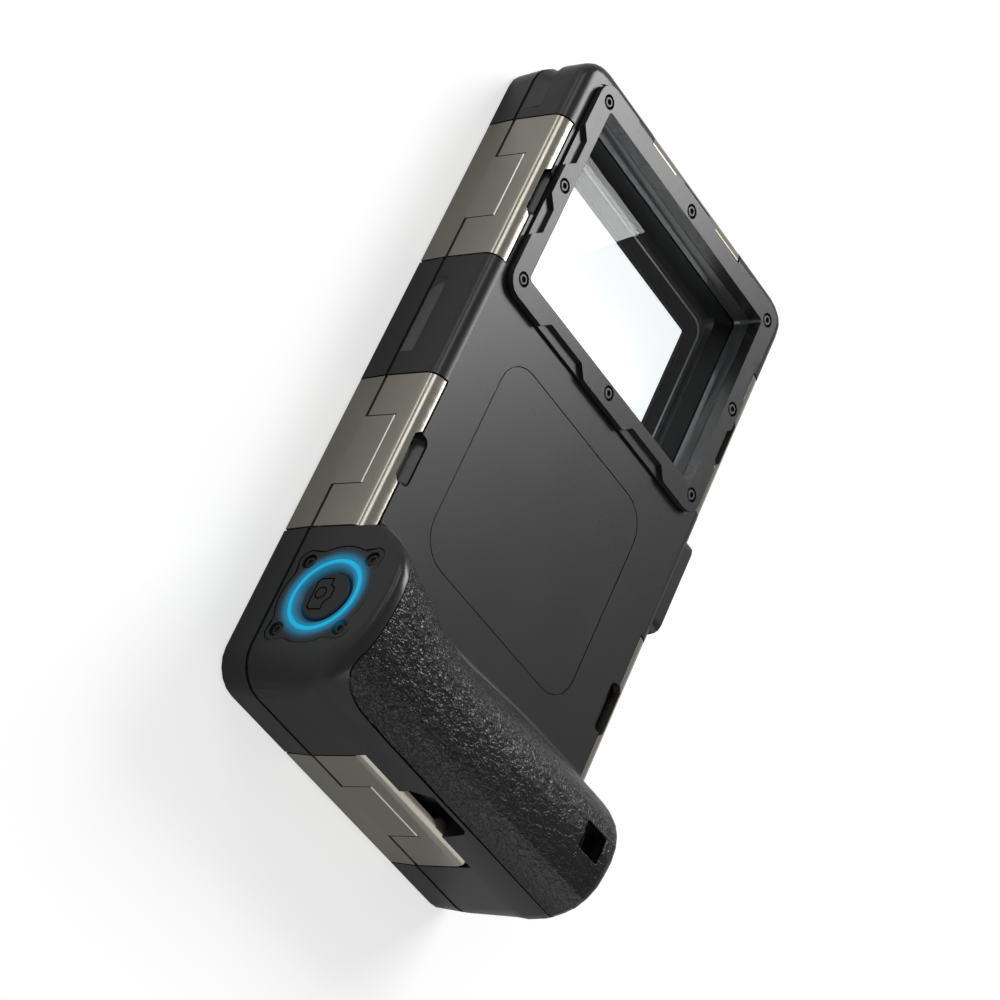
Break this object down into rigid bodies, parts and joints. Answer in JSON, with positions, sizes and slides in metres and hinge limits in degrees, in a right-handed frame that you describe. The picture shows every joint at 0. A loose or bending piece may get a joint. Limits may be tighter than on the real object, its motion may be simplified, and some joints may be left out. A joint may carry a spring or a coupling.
{
  "type": "underwater phone case",
  "caption": "Rigid two-half diving housing for a phone, with draw latches, a screwed camera window, a grained hand grip and a lit shutter button.",
  "frame": {"origin": "centre of the bounding box on X and Y, at the front rim's plane, which is what the case lies on", "axes": "+Z from the screen side to the camera side, +Y towards the camera end, -X towards the shutter button's side, +X towards the tripod boss"},
  "size_m": [0.11, 0.198, 0.0454],
  "materials": {
    "shell_black": "fine matt mould texture",
    "frame_black": "satin",
    "panel_black": "matt",
    "grip_leather": "grained, moulded",
    "latch_champagne": "satin champagne",
    "steel": "bright",
    "screw_black": "black oxide",
    "clear_glass": "polished, clear",
    "clear_screen": "polished, clear",
    "seal_rubber": "matt",
    "seal_silicone": "matt",
    "button_black": "matt",
    "ring_cyan": "lit light guide",
    "insert_brass": "turned",
    "board_green": "solder mask",
    "cell_blue": "shrink film",
    "cushion_foam": "closed-cell foam"
  },
  "bodies": {
    "front_half": {"front_shell": "shell_black", "front_window": "clear_screen", "front_window_gasket": "seal_rubber"},
    "rear_half": {"rear_shell": "shell_black", "main_seal": "seal_silicone", "camera_frame": "frame_black", "camera_glass": "clear_glass", "camera_gasket": "seal_rubber", "back_panel": "panel_black", "grip_skin": "grip_leather", "shutter_bezel": "frame_black", "light_ring": "ring_cyan", "button_seal": "seal_rubber", "button_spring": "steel", "control_board": "board_green", "battery": "cell_blue", "tripod_insert": "insert_brass", "cushion_left": "cushion_foam", "cushion_right": "cushion_foam", "cushion_end": "cushion_foam", "cushion_back": "cushion_foam", "frame_screw_1": "screw_black", "frame_screw_2": "screw_black", "frame_screw_3": "screw_black", "frame_screw_4": "screw_black", "frame_screw_5": "screw_black", "frame_screw_6": "screw_black", "frame_screw_7": "screw_black", "frame_screw_8": "screw_black", "bezel_screw_1": "screw_black", "bezel_screw_2": "screw_black", "bezel_screw_3": "screw_black", "bezel_screw_4": "screw_black"},
    "shutter": {"shutter_button": "button_black"},
    "lever_left_upper": {"lever_left_upper": "latch_champagne", "claw_pin_left_upper": "steel"},
    "claw_left_upper": {"claw_left_upper": "latch_champagne"},
    "lever_left_lower": {"lever_left_lower": "latch_champagne", "claw_pin_left_lower": "steel"},
    "claw_left_lower": {"claw_left_lower": "latch_champagne"},
    "lever_right_upper": {"lever_right_upper": "latch_champagne", "claw_pin_right_upper": "steel"},
    "claw_right_upper": {"claw_right_upper": "latch_champagne"},
    "lever_right_lower": {"lever_right_lower": "latch_champagne", "claw_pin_right_lower": "steel"},
    "claw_right_lower": {"claw_right_lower": "latch_champagne"},
    "lever_top": {"lever_top": "latch_champagne", "claw_pin_top": "steel"},
    "claw_top": {"claw_top": "latch_champagne"},
    "lever_bottom": {"lever_bottom": "latch_champagne", "claw_pin_bottom": "steel"},
    "claw_bottom": {"claw_bottom": "latch_champagne"}
  },
  "joints": [
    {"name": "rear_lift", "type": "slide", "parent": "front_half", "child": "rear_half", "axis": [0, 0, 1], "range_m": [0, 0.06]},
    {"name": "shutter_press", "type": "slide", "parent": "rear_half", "child": "shutter", "axis": [1, 0, 0], "range_m": [0, 0.0012], "stiffness_N_per_m": 1500, "springref_m": -0.0004, "deforming": ["button_spring"]},
    {"name": "lever_left_upper_swing", "type": "hinge", "parent": "rear_half", "child": "lever_left_upper", "pos_m": [-0.05365, 0.0527, 0.0112], "axis": [0, -1, 0], "range_deg": [0, 90]},
    {"name": "claw_left_upper_swing", "type": "hinge", "parent": "lever_left_upper", "child": "claw_left_upper", "pos_m": [-0.05385, 0.0527, 0.0149], "axis": [0, -1, 0], "range_deg": [-141.5, 0]},
    {"name": "lever_left_lower_swing", "type": "hinge", "parent": "rear_half", "child": "lever_left_lower", "pos_m": [-0.05365, -0.0322, 0.0112], "axis": [0, -1, 0], "range_deg": [0, 90]},
    {"name": "claw_left_lower_swing", "type": "hinge", "parent": "lever_left_lower", "child": "claw_left_lower", "pos_m": [-0.05385, -0.0322, 0.0149], "axis": [0, -1, 0], "range_deg": [-141.5, 0]},
    {"name": "lever_right_upper_swing", "type": "hinge", "parent": "rear_half", "child": "lever_right_upper", "pos_m": [0.04965, 0.0515, 0.0112], "axis": [0, 1, 0], "range_deg": [0, 90]},
    {"name": "claw_right_upper_swing", "type": "hinge", "parent": "lever_right_upper", "child": "claw_right_upper", "pos_m": [0.04985, 0.0515, 0.0149], "axis": [0, 1, 0], "range_deg": [-141.5, 0]},
    {"name": "lever_right_lower_swing", "type": "hinge", "parent": "rear_half", "child": "lever_right_lower", "pos_m": [0.04965, -0.036, 0.0112], "axis": [0, 1, 0], "range_deg": [0, 90]},
    {"name": "claw_right_lower_swing", "type": "hinge", "parent": "lever_right_lower", "child": "claw_right_lower", "pos_m": [0.04985, -0.036, 0.0149], "axis": [0, 1, 0], "range_deg": [-141.5, 0]},
    {"name": "lever_top_swing", "type": "hinge", "parent": "rear_half", "child": "lever_top", "pos_m": [0.0002, 0.09765, 0.0112], "axis": [-1, 0, 0], "range_deg": [0, 90]},
    {"name": "claw_top_swing", "type": "hinge", "parent": "lever_top", "child": "claw_top", "pos_m": [0.0002, 0.09785, 0.0149], "axis": [-1, 0, 0], "range_deg": [-141.5, 0]},
    {"name": "lever_bottom_swing", "type": "hinge", "parent": "rear_half", "child": "lever_bottom", "pos_m": [0.0002, -0.09765, 0.0112], "axis": [1, 0, 0], "range_deg": [0, 90]},
    {"name": "claw_bottom_swing", "type": "hinge", "parent": "lever_bottom", "child": "claw_bottom", "pos_m": [0.0002, -0.09785, 0.0149], "axis": [1, 0, 0], "range_deg": [-141.5, 0]}
  ],
  "couplings": [
    {"joint": "claw_left_upper_swing", "follows": "lever_left_upper_swing", "ratio": -1.57},
    {"joint": "claw_left_lower_swing", "follows": "lever_left_lower_swing", "ratio": -1.57},
    {"joint": "claw_right_upper_swing", "follows": "lever_right_upper_swing", "ratio": -1.57},
    {"joint": "claw_right_lower_swing", "follows": "lever_right_lower_swing", "ratio": -1.57},
    {"joint": "claw_top_swing", "follows": "lever_top_swing", "ratio": -1.57},
    {"joint": "claw_bottom_swing", "follows": "lever_bottom_swing", "ratio": -1.57}
  ]
}
